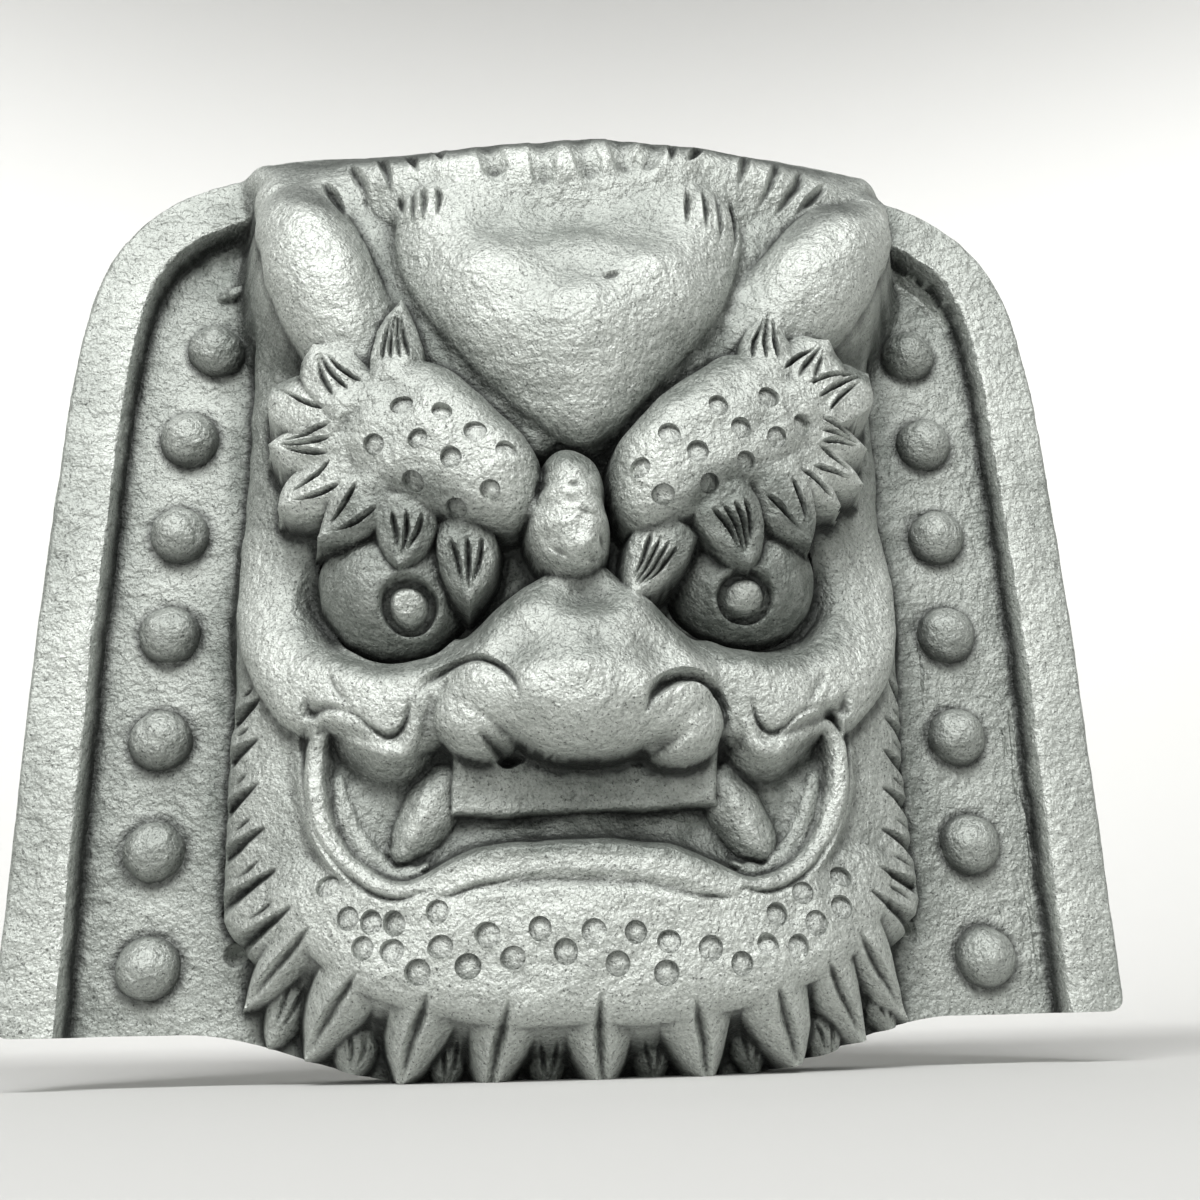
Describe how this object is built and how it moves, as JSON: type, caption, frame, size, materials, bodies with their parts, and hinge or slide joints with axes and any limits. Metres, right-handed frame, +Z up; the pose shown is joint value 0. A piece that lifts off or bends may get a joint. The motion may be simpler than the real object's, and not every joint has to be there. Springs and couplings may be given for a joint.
{
  "type": "onigawara roof tile",
  "caption": "Ridge-end roof tile of smoked clay: a carved demon face between studded channels in a raised rim, scooped out behind.",
  "frame": {"origin": "on the ground under the middle of the tile's width and depth, with the tile standing on the level foot below the chin", "axes": "+X across the tile to the right as one looks at the face, +Y out of the flat back, away from the face, +Z up"},
  "size_m": [0.3, 0.0817, 0.281],
  "materials": {
    "smoked_clay": "satin"
  },
  "bodies": {
    "root": {"onigawara_tile": "smoked_clay"}
  },
  "joints": []
}
